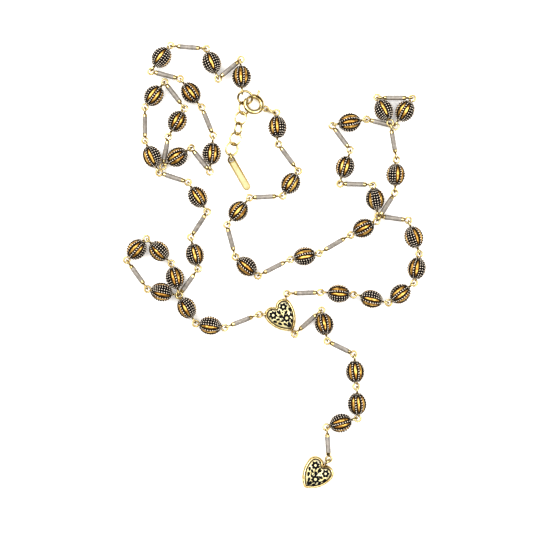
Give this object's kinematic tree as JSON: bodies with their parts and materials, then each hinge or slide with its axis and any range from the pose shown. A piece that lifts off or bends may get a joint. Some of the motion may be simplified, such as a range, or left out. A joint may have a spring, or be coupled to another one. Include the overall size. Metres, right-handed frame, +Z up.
{
  "type": "heart pendant necklace",
  "caption": "Y necklace laid flat: two strands of granulated oval beads and slim bars, an enamelled heart centrepiece, a beaded drop with a second heart, and a spring ring clasp.",
  "frame": {"origin": "middle of the bounding box at the surface that the necklace lies on", "axes": "+Z up from the surface, +Y from the drop's heart towards the clasp, which is the top of the picture, +X to its right"},
  "size_m": [0.1061, 0.1567, 0.0065],
  "materials": {
    "bead_metal": "dark oxidised granulated metal with polished amber slats",
    "heart_gold": "polished pale gold plate with dark enamel in the field",
    "wire_gold": "polished pale gold plate",
    "clasp_gold": "polished pale gold plate",
    "tag_gold": "polished pale gold plate",
    "sleeve_metal": "grey metal with fine crosswise ribs"
  },
  "bodies": {
    "necklace": {"heart_centre": "heart_gold", "heart_pendant": "heart_gold", "left_bead_01": "bead_metal", "left_bead_02": "bead_metal", "left_bead_03": "bead_metal", "left_bead_04": "bead_metal", "left_bead_05": "bead_metal", "left_bead_06": "bead_metal", "left_bead_07": "bead_metal", "left_bead_08": "bead_metal", "left_bead_09": "bead_metal", "left_bead_10": "bead_metal", "left_bead_11": "bead_metal", "left_bead_12": "bead_metal", "left_bead_13": "bead_metal", "left_bead_14": "bead_metal", "left_bead_15": "bead_metal", "left_bead_16": "bead_metal", "left_bead_17": "bead_metal", "right_bead_01": "bead_metal", "right_bead_02": "bead_metal", "right_bead_03": "bead_metal", "right_bead_04": "bead_metal", "right_bead_05": "bead_metal", "right_bead_06": "bead_metal", "right_bead_07": "bead_metal", "right_bead_08": "bead_metal", "right_bead_09": "bead_metal", "right_bead_10": "bead_metal", "right_bead_11": "bead_metal", "right_bead_12": "bead_metal", "right_bead_13": "bead_metal", "right_bead_14": "bead_metal", "right_bead_15": "bead_metal", "right_bead_16": "bead_metal", "right_bead_17": "bead_metal", "drop_bead_01": "bead_metal", "drop_bead_02": "bead_metal", "drop_bead_03": "bead_metal", "drop_bead_04": "bead_metal", "left_pins": "wire_gold", "right_pins": "wire_gold", "drop_pins": "wire_gold", "left_bar_wires": "wire_gold", "right_bar_wires": "wire_gold", "drop_bar_wires": "wire_gold", "left_sleeves": "sleeve_metal", "right_sleeves": "sleeve_metal", "drop_sleeves": "sleeve_metal", "clasp_link": "wire_gold", "spring_ring": "clasp_gold", "clasp_ring": "wire_gold", "extender_links": "wire_gold", "end_tag": "tag_gold"},
    "trigger": {"clasp_trigger": "clasp_gold"}
  },
  "joints": [
    {"name": "clasp_bolt", "type": "hinge", "parent": "necklace", "child": "trigger", "pos_m": [-0.0072, 0.0565, 0.0024], "axis": [0.1986, 0.2367, 0.9511], "range_deg": [-48, 0], "stiffness_Nm_per_rad": 0.0005}
  ]
}
